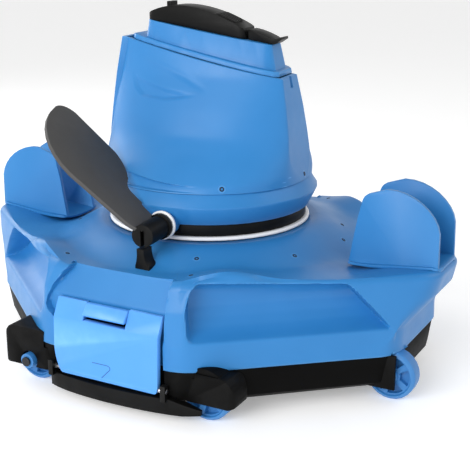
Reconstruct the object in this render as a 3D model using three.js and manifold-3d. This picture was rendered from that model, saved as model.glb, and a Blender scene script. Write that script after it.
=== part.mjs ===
// Cordless pool cleaner driven by a water jet. A pump tower swivels on a low, six-wheeled base
// and blows its jet between two pairs of fins, one pair at each end of the base.
// Millimetres, +Z up. +X is the direction of travel, -Y the front. The origin is on the floor
// under the middle of the base. Turned half a turn about Z, the base looks the same.
import * as THREE from 'three';
import { mergeVertices } from 'three/addons/utils/BufferGeometryUtils.js';
import Module from 'manifold-3d';

const wasm = await Module();
wasm.setup();

// ---------------------------------------------------------------- driving dimensions
const WALL = 3;                 // moulded wall
const GAP = 0.4;                // air between neighbouring pieces
const HALF_TURN = Math.PI;

const SPLIT_Z = 37;             // joint between chassis and base shell
const FLOOR_Z = 8;              // underside of the chassis
const DECK_Z = 97;              // edge of the top deck
const DECK_HOLE_R = 76;
const TRIM_R = 87;              // flat top of the deck, round the tower
const RING_R = 82;              // white ring on it
const TRIM_TOP_Z = 112.3;

const WHEEL_R = 19;
const WHEEL_W = 14;
const WHEEL_AIR = 1.4;          // between a wheel and its housing
const AXLE_R = 2.5;
const SIDE_WHEEL = { x: 75, y: 133 };
const END_WHEEL = { x: 177.5, y: 39 };
const LONG_BOSS = 11;           // hub standing proud of the face, front left and rear right
const SHORT_BOSS = 0.6;
const HOUSING_TOP_Z = 45;

const FIN_Y = 19;               // middle of each fin, from the middle of the wing
const FIN_T = 3.2;
const FIN_INNER_X = 134;
const FIN_OUTER_X = 202;
const FIN_TOP_Z = 153;

const DOOR_HALF = 45;           // half the width of the debris door
const DOOR_Y = 151.5;           // hinge line of the door, from the middle
const DOOR_PIN_Z = 22;
const DOOR_TOP_Z = 75.5;
const PIN_R = 2;

const POD_TURN = 6 * Math.PI / 180;   // the tower's rest angle about Z
const SKIRT_R = 81.5;
const SKIRT_Z = 122;
const SEAM_R = 88;              // widest line of the tower
const SEAM_Z = 135;
const SHELL_FOOT_R = 82.5;
const SHELL_FOOT_Z = 146;
const HUB_Z = 122.5;            // paddle axis
const HUB_R = 8.5;
const HUB_END = 121;            // outer end of the paddle hub, from the tower axis
const PADDLE_LEAN = 50 * Math.PI / 180;

// ---------------------------------------------------------------- finishes
const finish = (color, roughness, metalness = 0) =>
  new THREE.MeshStandardMaterial({ color, roughness, metalness });
const BLUE = () => finish(0x3f8ad8, 0.38);
const BRIGHT_BLUE = () => finish(0x5aa8f0, 0.36);
const BLACK = () => finish(0x141416, 0.5);
const DARK_GREY = () => finish(0x4a4a4a, 0.6);
const WHITE = () => finish(0xe8e8e8, 0.45);
const STEEL = () => finish(0xb4b6ba, 0.3, 1);
const GREEN = () => finish(0x1f6a3a, 0.5);
const MESH_GREY = () => finish(0x9aa4ac, 0.7);

// ---------------------------------------------------------------- geometry helpers
/** Closed three.js geometry as a solid; triangles that collapsed when points merged are dropped. */
function solid(geometry) {
  const bare = new THREE.BufferGeometry();
  bare.setAttribute('position', geometry.getAttribute('position'));
  if (geometry.getIndex()) bare.setIndex(geometry.getIndex());
  const merged = mergeVertices(bare, 1e-4);
  const index = merged.getIndex().array;
  const kept = [];
  for (let i = 0; i < index.length; i += 3) {
    const [a, b, c] = [index[i], index[i + 1], index[i + 2]];
    if (a !== b && b !== c && c !== a) kept.push(a, b, c);
  }
  return new wasm.Manifold(new wasm.Mesh({
    numProp: 3,
    vertProperties: new Float32Array(merged.getAttribute('position').array),
    triVerts: new Uint32Array(kept),
  }));
}

/** Solid back to a geometry. */
function geometryOf(body) {
  const mesh = body.getMesh();
  const geometry = new THREE.BufferGeometry();
  geometry.setAttribute('position', new THREE.BufferAttribute(new Float32Array(mesh.vertProperties), 3));
  geometry.setIndex(new THREE.BufferAttribute(new Uint32Array(mesh.triVerts), 1));
  geometry.computeVertexNormals();
  return geometry;
}

/** Shape from corner points. */
const outline = (points) => new THREE.Shape(points.map(([x, y]) => new THREE.Vector2(x, y)));

/** Outline with every corner rounded by a short curve of `segments` steps. */
function roundedPoints(corners, radius, segments = 3) {
  const points = [];
  corners.forEach((corner, i) => {
    const here = new THREE.Vector2(...corner);
    const before = new THREE.Vector2(...corners[(i + corners.length - 1) % corners.length]);
    const after = new THREE.Vector2(...corners[(i + 1) % corners.length]);
    const reach = Math.min(radius, here.distanceTo(before) / 2.2, here.distanceTo(after) / 2.2);
    const start = here.clone().add(before.sub(here).setLength(reach));
    const end = here.clone().add(after.sub(here).setLength(reach));
    points.push(...new THREE.QuadraticBezierCurve(start, here, end).getPoints(segments));
  });
  return points;
}
const roundedOutline = (corners, radius, segments) =>
  new THREE.Shape(roundedPoints(corners, radius, segments));

const extrude = (shape, depth, curveSegments = 8) =>
  new THREE.ExtrudeGeometry(shape, { depth, bevelEnabled: false, curveSegments });

/** Shape in X and Y, raised from z0 to z1. */
function prismZ(shape, z0, z1, curveSegments) {
  return solid(extrude(shape, z1 - z0, curveSegments).translate(0, 0, z0));
}

/** Shape in Y and Z, running from x0 to x1. */
function prismX(shape, x0, x1, curveSegments) {
  const turn = new THREE.Matrix4().makeBasis(
    new THREE.Vector3(0, 1, 0), new THREE.Vector3(0, 0, 1), new THREE.Vector3(1, 0, 0));
  return solid(extrude(shape, x1 - x0, curveSegments).applyMatrix4(turn).translate(x0, 0, 0));
}

/** Shape in X and Z, running from y0 to y1. */
function prismY(shape, y0, y1, curveSegments) {
  return solid(extrude(shape, y1 - y0, curveSegments).rotateX(Math.PI / 2).translate(0, y1, 0));
}

/** Box between two opposite corners. */
function block([x0, y0, z0], [x1, y1, z1]) {
  const box = new THREE.BoxGeometry(x1 - x0, y1 - y0, z1 - z0);
  return solid(box.translate((x0 + x1) / 2, (y0 + y1) / 2, (z0 + z1) / 2));
}

/** Body of revolution about Z from [radius, z] points. */
function turned(profile, segments = 48) {
  const points = profile.map(([r, z]) => new THREE.Vector2(r, z));
  if (profile[0][0] > 0) points.push(points[0].clone());
  const body = solid(new THREE.LatheGeometry(points, segments).rotateX(Math.PI / 2));
  return body;
}

/** Round bar between two heights on Z. */
function rod(radius, z0, z1, segments = 24) {
  return solid(new THREE.CylinderGeometry(radius, radius, z1 - z0, segments)
    .rotateX(Math.PI / 2).translate(0, 0, (z0 + z1) / 2));
}

/** Round bar along X at the given Y and Z. */
function barAlongX(x0, x1, y, z, radius, segments = 16) {
  return solid(new THREE.CylinderGeometry(radius, radius, x1 - x0, segments)
    .rotateZ(Math.PI / 2).translate((x0 + x1) / 2, y, z));
}

/** Round bar along Y, on the axis. */
function barAlongY(radius, y0, y1, segments = 20) {
  return solid(new THREE.CylinderGeometry(radius, radius, y1 - y0, segments).translate(0, (y0 + y1) / 2, 0));
}

/** Skin over loops of equally many points, closed by a cap at each end. */
function loft(loops) {
  const count = loops[0].length;
  const positions = loops.flat().flatMap((p) => [p.x, p.y, p.z]);
  const index = [];
  for (let i = 0; i + 1 < loops.length; i += 1) {
    for (let j = 0; j < count; j += 1) {
      const k = (j + 1) % count;
      const [a, b, c, d] = [i * count + j, i * count + k, (i + 1) * count + k, (i + 1) * count + j];
      index.push(a, b, c, a, c, d);
    }
  }
  const flat = (loop) => loop.map((p) => new THREE.Vector2(p.x, p.y));
  const last = (loops.length - 1) * count;
  for (const [a, b, c] of THREE.ShapeUtils.triangulateShape(flat(loops[0]), [])) index.push(c, b, a);
  for (const [a, b, c] of THREE.ShapeUtils.triangulateShape(flat(loops.at(-1)), [])) {
    index.push(last + a, last + b, last + c);
  }
  const geometry = new THREE.BufferGeometry();
  geometry.setAttribute('position', new THREE.Float32BufferAttribute(positions, 3));
  geometry.setIndex(index);
  return geometry;
}

/** Same solid seen in a mirror: sx or sy is -1 to swap that side. */
function mirrored(body, sx, sy) {
  const geometry = geometryOf(body).scale(sx, sy, 1);
  if (sx * sy < 0) {
    const index = geometry.getIndex();
    for (let i = 0; i < index.count; i += 3) {
      const swap = index.getX(i);
      index.setX(i, index.getX(i + 1));
      index.setX(i + 1, swap);
    }
  }
  return solid(geometry);
}

/** The piece and its twin half a turn round the base. */
const bothEnds = (body) => joined(body, mirrored(body, -1, -1));

/** The piece at all four corners of the base. */
const fourCorners = (body) => bothEnds(joined(body, mirrored(body, -1, 1)));

const movedBy = (body, x, y, z) => body.translate([x, y, z]);
const joined = (...bodies) => bodies.reduce((all, body) => all.add(body));
const without = (body, ...cutters) => cutters.reduce((rest, cutter) => rest.subtract(cutter), body);

const cleaner = new THREE.Group();

/** Put one named piece into the assembly. */
function addPiece(name, body, material, parent = cleaner) {
  const mesh = new THREE.Mesh(geometryOf(body), material);
  mesh.name = name;
  parent.add(mesh);
  return mesh;
}

/** Front piece and its twin half a turn round the base. */
function addFrontAndRear(name, body, makeMaterial) {
  addPiece(`${name}_front`, body, makeMaterial());
  addPiece(`${name}_rear`, body, makeMaterial()).rotation.z = HALF_TURN;
}

// ---------------------------------------------------------------- base: plan and deck
/** Eight-sided plan: (x1, y1) ends the front edge, (x2, y2) ends the wing's outer edge. */
function planPoints(x1, y1, x2, y2, inset = 0) {
  const [a, b, c, d] = [x1 - inset * 0.5, y1 - inset, x2 - inset, y2 - inset * 0.5];
  const corners = [[a, -b], [c, -d], [c, d], [a, b], [-a, b], [-c, d], [-c, -d], [-a, -b]];
  const points = roundedPoints(corners, 14, 2);
  const sideSteps = 5;
  return points.flatMap((point, i) => {
    const next = points[(i + 1) % points.length];
    const oblique = point.distanceTo(next) > 90 && Math.abs(point.x - next.x) > 40
      && Math.abs(point.y - next.y) > 40;
    const steps = oblique ? sideSteps : 1;
    return Array.from({ length: steps }, (_, k) => point.clone().lerp(next, k / steps));
  });
}

const smooth = (from, to, value) => THREE.MathUtils.smoothstep(value, from, to);

/** Brow over each scoop, highest beside the door and fading towards the wing. */
function browHeight(x, y) {
  const apart = Math.hypot(Math.abs(x) - 84, Math.abs(y) - 122);
  return 9 * Math.exp(-((apart / 30) ** 2));
}

/** Height of the deck: it climbs to the tower and dips between the tower and each wing. */
function deckHeight(x, y) {
  const climb = 12.5 * (1 - smooth(TRIM_R, 126, Math.hypot(x, y)));
  const dip = 9 * Math.exp(-(((Math.abs(x) - 138) / 26) ** 2) - (y / 46) ** 2);
  return DECK_Z + climb - dip + browHeight(x, y);
}

/** Loops of the base body from the split line to the hole in the deck. */
function baseLoops(inset) {
  const rows = [
    [SPLIT_Z - (inset ? 5 : 0), 61, 150, 183, 48],
    [55, 60.5, 149.5, 183, 47],
    [78, 59, 146, 201, 31],
    [DECK_Z - 4, 57.5, 140.5, 205, 27],
    [DECK_Z - 1, 56, 138.5, 203.5, 26],
  ];
  const loops = rows.map(([z, ...plan]) => planPoints(...plan, inset).map((p) => {
    const lift = browHeight(p.x, p.y) * smooth(76, DECK_Z - 4, z);
    return new THREE.Vector3(p.x, p.y, Math.min(z, DECK_Z - 1 - inset) + lift);
  }));
  const edge = planPoints(54, 135.5, 200, 24.5, inset);
  for (const blend of [0, 0.33, 0.66, 1]) {
    loops.push(edge.map((p) => {
      const ring = p.clone().setLength(TRIM_R + 1.5);
      const spot = p.clone().lerp(ring, blend);
      return new THREE.Vector3(spot.x, spot.y, deckHeight(spot.x, spot.y) - inset);
    }));
  }
  return loops;
}

/** Room for the debris door in the front wall, and the sloping step above it. */
function doorRecess(extra) {
  const side = DOOR_HALF + 2 + extra;
  const deep = 143 - extra;
  const profile = [[-175, 17.8 - extra], [-deep, 17.8 - extra], [-deep, DOOR_TOP_Z + 1.5],
    [-deep + 12, DECK_Z], [-deep + 12, DECK_Z + 20], [-175, DECK_Z + 20]];
  return prismX(outline(profile), -side, side);
}

/** Hollow in the oblique wall beside each door, its far end slanting up to the wing. */
function scoopCutter(extra) {
  const profile = new THREE.Shape();
  profile.moveTo(-14, 57 - extra);
  profile.lineTo(1, 58 - extra);
  profile.quadraticCurveTo(17 + extra, 61 - extra, 22 + extra, 78);
  profile.quadraticCurveTo(24 + extra, 90 + extra, 7 + extra, 93 + extra);
  profile.lineTo(-14, 94 + extra);
  const length = 100;
  const geometry = extrude(profile, length, 5);
  const spot = geometry.getAttribute('position');
  const [wallX, wallY] = [61, -150];
  const [alongX, alongY] = [0.767, 0.641];
  for (let i = 0; i < spot.count; i += 1) {
    const [inward, z, along] = [spot.getX(i), spot.getY(i), spot.getZ(i)];
    const near = along < length / 2;
    const nearEnd = 2 - extra + 18 * smooth(80, 95, z);
    const farEnd = 119 + extra + (DECK_Z - z) * 0.93;
    const s = near ? nearEnd : farEnd;
    const raise = near ? 8 * smooth(80, 93, z) : 0;
    spot.setXYZ(i, wallX + s * alongX - inward * alongY, wallY + s * alongY + inward * alongX, z + raise);
  }
  return solid(geometry);
}

const baseBody = without(solid(loft(baseLoops(0))), bothEnds(doorRecess(0)), fourCorners(scoopCutter(0)));

/** Spots of the deck screws, each with its twin half a turn away. */
const DECK_SCREWS = [[-54, -122], [44, -97]];

function buildBaseShell() {
  const hollow = without(solid(loft(baseLoops(WALL))), bothEnds(doorRecess(WALL)),
    fourCorners(scoopCutter(WALL)));
  const doorway = block([-38, -150, 26], [38, -130, 68]);
  const postHole = block([-7, -7, 80], [7, 7, 120]);
  const shell = without(baseBody, hollow, rod(DECK_HOLE_R, 80, 130, 48), bothEnds(doorway),
    bothEnds(movedBy(postHole, ...postSpot(), 0)), wheelWells(),
    ...DECK_SCREWS.map(([x, y]) => bothEnds(movedBy(rod(3.4, 80, 130, 16), x, y, 0))));
  addPiece('base_shell', shell, BLUE());
}

// ---------------------------------------------------------------- base: chassis and bumpers
function chassisLoops(inset) {
  const top = inset ? SPLIT_Z + 5 : SPLIT_Z - GAP;
  const rows = [
    [FLOOR_Z + inset, 52, 141, 170, 38],
    [FLOOR_Z + 7 + inset, 59, 148, 180, 45],
    [top, 60.5, 149.5, 182.5, 47.5],
  ];
  return rows.map(([z, ...plan]) =>
    planPoints(...plan, inset).map((p) => new THREE.Vector3(p.x, p.y, z)));
}

/** Round-topped prism round a wheel whose axle lies along Y. */
function wheelArch(radius, y0, y1, bottom) {
  const shape = new THREE.Shape();
  shape.moveTo(radius, bottom);
  shape.lineTo(radius, WHEEL_R);
  shape.absarc(0, WHEEL_R, radius, 0, Math.PI);
  shape.lineTo(-radius, bottom);
  return prismY(shape, y0, y1, 10);
}

/** Room for every wheel to turn in. */
function wheelWells() {
  const half = WHEEL_W / 2 + WHEEL_AIR;
  const radius = WHEEL_R + WHEEL_AIR;
  const side = wheelArch(radius, -SIDE_WHEEL.y - half, -SIDE_WHEEL.y + half, -20);
  const boss = barAlongY(7.4, -200, -SIDE_WHEEL.y).translate([-SIDE_WHEEL.x, 0, WHEEL_R]);
  const end = wheelArch(radius, -END_WHEEL.y - half, -END_WHEEL.y + half, -20);
  return joined(fourCorners(movedBy(side, SIDE_WHEEL.x, 0, 0)), bothEnds(boss),
    bothEnds(movedBy(end, END_WHEEL.x, 0, 0)));
}

/** Black housing over a side wheel on the +X side: from bottom to top, reaching out past the wheel. */
function sideHousing(top, reach) {
  const half = WHEEL_W / 2;
  const [outerY, innerY] = [-SIDE_WHEEL.y - half - reach, -SIDE_WHEEL.y + half + 4];
  const slope = top - 12;
  const corners = [[25, 14], [-21, 14], [-21, top], [19, top], [25, slope]];
  const face = roundedOutline(corners.reverse(), 5, 2);
  const plan = roundedOutline([[-21, innerY], [-21, outerY], [22, outerY], [25.5, outerY + 5], [25.5, innerY]], 4, 2);
  const cover = prismY(face, outerY, innerY, 4).intersect(prismZ(plan, 0, 60));
  const bodyAbove = solid(loft(baseLoops(-GAP)));
  return movedBy(cover, SIDE_WHEEL.x, 0, 0).subtract(bodyAbove);
}

function buildChassis() {
  const half = WHEEL_W / 2;
  const endCover = wheelArch(WHEEL_R + WHEEL_AIR + 2.4, -END_WHEEL.y - half - 4, -END_WHEEL.y + half + 4,
    FLOOR_Z + 2).intersect(block([-60, -400, 0], [5, 400, SPLIT_Z - GAP]));
  const tray = without(solid(loft(chassisLoops(0))), bothEnds(doorRecess(0)));
  const room = without(solid(loft(chassisLoops(WALL))), bothEnds(doorRecess(WALL)));
  const tall = mirrored(sideHousing(HOUSING_TOP_Z, 8), -1, 1);
  const flush = sideHousing(SPLIT_Z - GAP, 3.4);
  const covers = joined(bothEnds(tall), bothEnds(flush), bothEnds(movedBy(endCover, END_WHEEL.x, 0, 0)));
  const intake = block([-30, -118, 0], [30, -86, 20]);
  const doorway = block([-38, -150, 26], [38, -130, 68]);
  addPiece('chassis', without(joined(without(tray, room), covers), wheelWells(), bothEnds(intake),
    bothEnds(doorway), bothEnds(doorRecess(0))), BLACK());
}

/** Curved lip under the door, with an ear at each end that holds the door pin. */
function buildBumpers() {
  const lip = new THREE.Shape();
  lip.moveTo(-53, -150);
  lip.quadraticCurveTo(-38, -156.6, 0, -157.2);
  lip.quadraticCurveTo(50, -156.6, 75, -146.4);
  lip.lineTo(75, -144);
  lip.lineTo(-53, -144);
  const lowRight = [[-60, 5], [62, 5], [80, 7], [80, 9], [52, 16.8], [-60, 16.8]];
  const bar = prismZ(lip, 5, 16.8, 8).intersect(prismY(outline(lowRight), -200, -100));
  const tray = solid(loft(chassisLoops(-GAP)));
  const ear = block([DOOR_HALF + 2.2, -DOOR_Y - 4, 15], [DOOR_HALF + 6.2, -DOOR_Y + 0.5, 27]);
  const bore = barAlongX(-70, 70, -DOOR_Y, DOOR_PIN_Z, PIN_R + GAP, 20);
  const housings = joined(block([SIDE_WHEEL.x - 21 - GAP, -200, 13.5], [140, -100, 60]).intersect(
    block([0, -143.8, 0], [200, 0, 60])),
  block([-140, -200, 13.5], [-SIDE_WHEEL.x + 21 + GAP, -100, 60]));
  addFrontAndRear('bumper_lip', without(joined(bar, ear, mirrored(ear, -1, 1)), tray, bore, housings,
    wheelWells()), BLACK);
}

// ---------------------------------------------------------------- wings
/** Side view of one fin: straight inner edge, top rising outwards, big round outer corner. */
function finShape() {
  const fin = new THREE.Shape();
  fin.moveTo(FIN_INNER_X - 6, 70);
  fin.lineTo(FIN_INNER_X + 4, 128);
  fin.lineTo(FIN_INNER_X + 7, 140);
  fin.quadraticCurveTo(FIN_INNER_X + 8, 147, FIN_INNER_X + 14, 148.5);
  fin.lineTo(FIN_INNER_X + 26, FIN_TOP_Z - 0.5);
  fin.bezierCurveTo(FIN_INNER_X + 46, FIN_TOP_Z + 1, FIN_OUTER_X - 3, FIN_TOP_Z - 14, FIN_OUTER_X - 1, 124);
  fin.lineTo(FIN_OUTER_X, 70);
  return fin;
}

/** Jet guide: two fins on a thin floor that follows the deck, GAP above it. */
function buildJetGuides() {
  const fin = prismY(finShape(), FIN_Y - FIN_T / 2, FIN_Y + FIN_T / 2, 8);
  const plan = roundedOutline([[FIN_INNER_X - 3, -26], [203.5, -23], [203.5, 23], [FIN_INNER_X - 3, 26]], 9, 4);
  const deckSkin = joined(baseBody.translate([0, 0, GAP + 1.8]), baseBody.translate([0, 0, GAP + 0.9]));
  const floor = prismZ(plan, 60, 120).intersect(deckSkin);
  const guide = without(joined(fin, mirrored(fin, 1, -1), floor), baseBody.translate([0, 0, GAP]),
    block([0, -60, 0], [300, 60, 87]));
  addPiece('jet_guide_right', guide, BLUE());
  addPiece('jet_guide_left', guide, BLUE()).rotation.z = HALF_TURN;
}

// ---------------------------------------------------------------- turntable trim and stop posts
function postSpot() {
  const reach = HUB_END - 5;
  return [reach * Math.sin(POD_TURN), -reach * Math.cos(POD_TURN)];
}

function buildDeckFittings() {
  const seat = DECK_Z + 12.5 + GAP;
  addPiece('trim_ring', turned([[DECK_HOLE_R + 1, seat], [RING_R, seat], [RING_R, TRIM_TOP_Z - 1],
    [RING_R - 1, TRIM_TOP_Z], [DECK_HOLE_R + 1, TRIM_TOP_Z]], 48), WHITE());

  const post = new THREE.Shape();
  post.moveTo(-6, 84);
  post.lineTo(6, 84);
  post.lineTo(6, 100);
  post.quadraticCurveTo(1.5, 103, 1.5, 112.6);
  post.lineTo(-4.5, 112.6);
  post.quadraticCurveTo(-4, 104, -6, 100);
  const body = joined(prismY(post, -5.5, 5.5, 6), block([-11, -9, 84], [11, 9, 86.5]));
  const [x, y] = postSpot();
  addFrontAndRear('stop_post', movedBy(body, x, y, 0), BLACK);
}

// ---------------------------------------------------------------- suction path inside the base
function buildSuctionPath() {
  const window = block([-26, -80, 20], [26, 0, 62]);
  const tube = turned([[47, 12], [50, 12], [50, 88], [60, 96], [60, 99], [47, 90]], 32);
  addPiece('suction_duct', without(tube, bothEnds(window)), BLACK());

  const basketOut = block([-36, -138, 12], [36, -54, 70]);
  const basketIn = block([-34, -136, 14], [34, -56, 72]);
  const mouth = block([-28, -116, 0], [28, -88, 20]);
  const meshGap = block([-27, -60, 21], [27, -50, 63]);
  const doorSide = block([-32, -140, 20], [32, -134, 64]);
  addFrontAndRear('filter_basket', without(basketOut, basketIn, mouth, meshGap, doorSide), DARK_GREY);

  const screen = block([-26.5, -55.8, 21.5], [26.5, -54.4, 62.5]);
  const openings = [];
  for (const x of [-18, -6, 6, 18]) {
    for (const z of [29, 39, 49]) openings.push(block([x - 4.5, -60, z - 3.5], [x + 4.5, -50, z + 3.5]));
  }
  addFrontAndRear('filter_screen', without(screen, ...openings), MESH_GREY);

  const flap = joined(block([-29, -117, 14.5], [29, -88, 16]), barAlongX(-29, 29, -86.5, 16.4, 1.6));
  addFrontAndRear('intake_flap', flap, BLUE);
}

// ---------------------------------------------------------------- debris doors
const LATCH = { left: -19, right: 17, bottom: 66.5 };

function buildDoors() {
  const outer = [[-DOOR_Y - 4, 20], [-DOOR_Y - 2, 62], [-DOOR_Y + 5, DOOR_TOP_Z], [-DOOR_Y + 7.6, DOOR_TOP_Z],
    [-DOOR_Y + 2, 59.5], [-DOOR_Y, 20]];
  const face = [[-DOOR_HALF, 34], [-DOOR_HALF + 6, 18], [DOOR_HALF, 18], [DOOR_HALF, 90], [-DOOR_HALF, 90]];
  const panel = prismX(outline(outer), -DOOR_HALF, DOOR_HALF)
    .intersect(prismY(roundedOutline(face, 7, 3), -200, -100));
  const barrel = barAlongX(-DOOR_HALF + 8, DOOR_HALF - 4, -DOOR_Y, DOOR_PIN_Z, 4, 24);
  const bore = barAlongX(-60, 60, -DOOR_Y, DOOR_PIN_Z, PIN_R + GAP, 20);
  const notch = block([LATCH.left - GAP, -170, LATCH.bottom - 3.6], [LATCH.right + GAP, -120, 90]);
  addFrontAndRear('debris_door', without(joined(panel, barrel), bore, notch), BRIGHT_BLUE);
  addFrontAndRear('door_pin', barAlongX(-DOOR_HALF - 6, DOOR_HALF + 6, -DOOR_Y, DOOR_PIN_Z, PIN_R), STEEL);

  const tab = [[-DOOR_Y - 1.2, LATCH.bottom], [-DOOR_Y - 2.4, LATCH.bottom + 1.5], [-DOOR_Y + 3.4, DOOR_TOP_Z - 0.3],
    [-DOOR_Y + 6.6, DOOR_TOP_Z - 0.3], [-DOOR_Y + 3.6, LATCH.bottom]];
  addFrontAndRear('door_latch', prismX(outline(tab), LATCH.left, LATCH.right), BRIGHT_BLUE);
}

// ---------------------------------------------------------------- wheels
/** Wheel with its axle upright: rounded tread, pocketed face below, hub standing proud by boss. */
function buildWheelBody(boss) {
  const half = WHEEL_W / 2;
  const profile = [[AXLE_R + 0.3, -half - boss], [5.8, -half - boss], [5.8, -half + 2], [WHEEL_R - 3.6, -half + 2],
    [WHEEL_R - 2.8, -half], [WHEEL_R, -half + 2.4], [WHEEL_R, half - 1.4], [WHEEL_R - 1.4, half],
    [AXLE_R + 0.3, half]];
  const wheel = turned(profile, 24);
  const pockets = [];
  for (let i = 0; i < 5; i += 1) {
    const pocket = new THREE.Shape();
    const middle = (i / 5) * 2 * Math.PI;
    pocket.absarc(0, 0, WHEEL_R - 4.6, middle - 0.45, middle + 0.45, false);
    pocket.absarc(0, 0, 7.4, middle + 0.34, middle - 0.34, true);
    pockets.push(prismZ(pocket, -half - 1, -half + 6, 3));
  }
  return without(wheel, ...pockets);
}

/** Wheel and axle for one length of hub; a long hub is capped by the head of its axle. */
function wheelSet(boss) {
  const half = WHEEL_W / 2;
  const face = -half - boss;
  const capped = boss > SHORT_BOSS;
  const stub = rod(AXLE_R, capped ? face - GAP - 0.4 : face, half + 1, 16);
  const head = rod(AXLE_R + 1.2, face - GAP - 1.6, face - GAP, 16);
  return { wheel: buildWheelBody(boss), axle: capped ? joined(stub, head) : stub };
}

function buildWheels() {
  const [long, short] = [wheelSet(LONG_BOSS), wheelSet(SHORT_BOSS)];
  const spots = {
    front_left: [long, -SIDE_WHEEL.x, -SIDE_WHEEL.y, 0],
    front_right: [short, SIDE_WHEEL.x, -SIDE_WHEEL.y, 0],
    end_right: [short, END_WHEEL.x, -END_WHEEL.y, 0],
    rear_right: [long, SIDE_WHEEL.x, SIDE_WHEEL.y, HALF_TURN],
    rear_left: [short, -SIDE_WHEEL.x, SIDE_WHEEL.y, HALF_TURN],
    end_left: [short, -END_WHEEL.x, END_WHEEL.y, HALF_TURN],
  };
  for (const [place, [{ wheel, axle }, x, y, turn]] of Object.entries(spots)) {
    const corner = new THREE.Group();
    corner.position.set(x, y, WHEEL_R);
    corner.rotation.set(-Math.PI / 2, 0, turn, 'ZXY');
    cleaner.add(corner);
    addPiece(`wheel_${place}`, wheel, BRIGHT_BLUE(), corner);
    addPiece(`axle_${place}`, axle, STEEL(), corner);
  }
}

// ---------------------------------------------------------------- tower
const tower = new THREE.Group();
tower.rotation.z = POD_TURN;
cleaner.add(tower);

/** Cross-section of the tower: bowed faces half-depth b, flat ends at a that are 2e wide. */
function towerSection([z, a, b, e], inset) {
  const [reach, depth, edge] = [a - inset, Math.max(b - inset, 3), Math.max(e - inset * 0.6, 1)];
  const steps = 10;
  const points = [];
  for (let i = 0; i <= steps; i += 1) {
    const angle = -Math.PI / 2 + (Math.PI * i) / steps;
    points.push([reach * Math.sin(angle), -edge - (depth - edge) * Math.cos(angle)]);
  }
  const back = points.map(([x, y]) => [-x, -y]);
  return [...points, ...back].map(([x, y]) => new THREE.Vector3(x, y, z));
}

/** Height of a plane that falls towards +X. */
const SHOULDER = { z: 239, slope: -0.2 };
const BAND_DEPTH = 1.4;
const NECK_TOP = { z: 258.5, slope: -0.155 };

/** Everything below (or above) a plane that falls towards +X. */
function halfSpace({ z, slope }, shift, above) {
  const far = 160;
  const edge = above ? 400 : -100;
  const corners = [[-far, z + shift - far * slope], [-far, edge], [far, edge], [far, z + shift + far * slope]];
  return prismY(outline(above ? corners.reverse() : corners), -far, far);
}

const TOWER_ROWS = [
  [SHELL_FOOT_Z, SHELL_FOOT_R, SHELL_FOOT_R, 5],
  [153, 80.5, 78, 16],
  [162, 78.5, 70.5, 24],
  [170, 77.3, 63, 24.5],
  [182, 76, 54, 22.5],
  [202, 73, 44.5, 20],
  [226, 68.3, 32.5, 16.5],
  [262, 61.5, 20.5, 13],
];

/** Shallow band cut into the foot of each broad face, where the tower's screws sit. */
function footBand() {
  const core = solid(loft(TOWER_ROWS.map((row) => towerSection(row, BAND_DEPTH))));
  return without(block([-66, -100, 146.4], [66, 100, 152.6]), core);
}

/** Shallow scoop high on the left of each broad face. */
function faceScoop() {
  const shape = new THREE.Shape();
  shape.moveTo(-53, 229);
  shape.quadraticCurveTo(-40, 218, 0, 213);
  shape.quadraticCurveTo(-20, 207, -43, 209);
  shape.quadraticCurveTo(-51, 215, -53, 229);
  return prismY(shape, -90, -1, 6);
}

function buildTowerShells() {
  const body = solid(loft(TOWER_ROWS.map((row) => towerSection(row, 0))));
  const hollow = solid(loft([[140, 79, 79, 5], ...TOWER_ROWS].map((row) => towerSection(row, WALL))));
  const shallow = solid(loft(TOWER_ROWS.map((row) => towerSection(row, 2.2))));
  const scoop = without(faceScoop(), shallow);
  const slot = block([60, -2, 214], [90, 2, 240]);
  const nozzleHole = nozzleBody(GAP, 60);
  const shell = without(body, footBand(), hollow, bothEnds(scoop), bothEnds(slot), nozzleHole,
    halfSpace(SHOULDER, 0, true));
  addPiece('tower_shell', shell, BLUE(), tower);

  const foot = turned([[SKIRT_R, SKIRT_Z], [SEAM_R, SEAM_Z], [SEAM_R, SEAM_Z + 1.5], [SEAM_R - 2.6, SEAM_Z + 5],
    [SHELL_FOOT_R, SHELL_FOOT_Z - GAP], [SHELL_FOOT_R - 5, SHELL_FOOT_Z - GAP], [SEAM_R - 6, SEAM_Z + 1],
    [SKIRT_R - 4, SKIRT_Z + 3], [40, SKIRT_Z + 3], [40, SKIRT_Z]], 48);
  const boss = alongHub(9.4, 66, 87.2, 32);
  const bossBore = alongHub(5.4, 60, 100, 24);
  addPiece('tower_foot', without(joined(foot, boss), bossBore, nozzleBody(GAP, 60)), BLUE(), tower);

  const wall = turned([[74, TRIM_TOP_Z + GAP], [79, TRIM_TOP_Z + GAP], [79, SKIRT_Z - GAP], [74, SKIRT_Z - GAP]], 48);
  addPiece('turntable', without(wall, alongHub(9.4 + GAP, 60, 100, 32)), BLACK(), tower);

  const bush = without(alongHub(11, 87.2 + GAP, 90, 32), alongHub(5.2, 80, 95, 24));
  addPiece('paddle_bush', bush, WHITE(), tower);
}

/** Round bar along the paddle's axis, between two distances from the tower's axis. */
function alongHub(radius, from, to, segments = 24) {
  return solid(new THREE.CylinderGeometry(radius, radius, to - from, segments)
    .translate(0, -(from + to) / 2, HUB_Z));
}

/** Flattened jet outlet on the -X side, grown by extra, from the given reach outwards. */
function nozzleBody(extra, from) {
  const mouth = new THREE.Shape();
  mouth.absellipse(0, 141, 17 + extra, 10 + extra, 0, 2 * Math.PI);
  return prismX(mouth, -101, -from, 10);
}

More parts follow.
